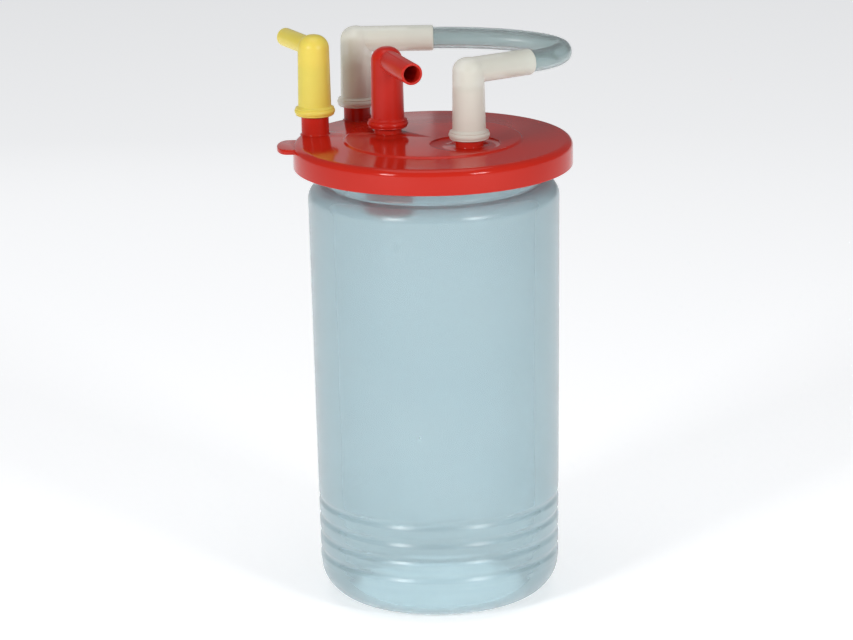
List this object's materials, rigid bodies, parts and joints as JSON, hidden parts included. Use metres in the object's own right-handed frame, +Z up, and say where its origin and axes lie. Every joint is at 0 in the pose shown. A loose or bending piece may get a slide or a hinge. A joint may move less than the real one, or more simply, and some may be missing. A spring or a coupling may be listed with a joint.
{
  "type": "suction collection canister",
  "caption": "Tapered translucent collection jar with a wide red lid, elbow connectors on posts and a short bridging tube.",
  "frame": {"origin": "centre of the flat base, on the jar's axis", "axes": "+Z up along the jar's axis; +X towards the bridging tube's loop, away from the pull tab; -Y the side with the patient spigot"},
  "size_m": [0.139, 0.131, 0.2674],
  "materials": {
    "milky_jar": "translucent milky polyethylene, satin",
    "red_lid": "glossy moulded red",
    "red_fitting": "satin moulded red",
    "yellow_fitting": "satin moulded yellow, slightly translucent",
    "white_fitting": "translucent natural white, satin",
    "clear_tube": "clear soft tubing, slightly blue-grey",
    "white_insert": "plain white moulded",
    "filter_membrane": "matt sintered filter felt",
    "soft_seal": "matt silicone",
    "steel_pin": "plain drawn pin"
  },
  "bodies": {
    "jar": {"liner_jar": "milky_jar"},
    "lid": {"lid": "red_lid", "lid_seal": "soft_seal", "valve_housing": "red_fitting", "valve_seat": "white_insert", "flap_pin": "steel_pin", "housing_end_ring": "white_insert", "spacer_ring": "white_insert", "hydrophobic_filter": "filter_membrane", "filter_grille": "white_insert"},
    "vacuum_elbow": {"yellow_elbow": "yellow_fitting"},
    "patient_elbow": {"red_elbow": "red_fitting"},
    "bridge": {"white_elbow_back": "white_fitting", "white_elbow_front": "white_fitting", "bridge_tube": "clear_tube"},
    "flap": {"valve_flap": "soft_seal"}
  },
  "joints": [
    {"name": "lid_lift", "type": "slide", "parent": "jar", "child": "lid", "axis": [0, 0, 1], "range_m": [0, 0.06]},
    {"name": "yellow_elbow_swivel", "type": "hinge", "parent": "lid", "child": "vacuum_elbow", "pos_m": [-0.0553, 0.0165, 0.24], "axis": [0, 0, 1], "range_deg": [-37, 150]},
    {"name": "red_elbow_swivel", "type": "hinge", "parent": "lid", "child": "patient_elbow", "pos_m": [-0.021, 0.0125, 0.235], "axis": [0, 0, 1], "range_deg": [-45, 104]},
    {"name": "bridge_lift", "type": "slide", "parent": "lid", "child": "bridge", "axis": [0, 0, 1], "range_m": [0, 0.04]},
    {"name": "patient_flap", "type": "hinge", "parent": "lid", "child": "flap", "pos_m": [-0.021, 0.0191, 0.19925], "axis": [1, 0, 0], "range_deg": [0, 60], "stiffness_Nm_per_rad": 0.0002, "springref_deg": -34.38}
  ]
}
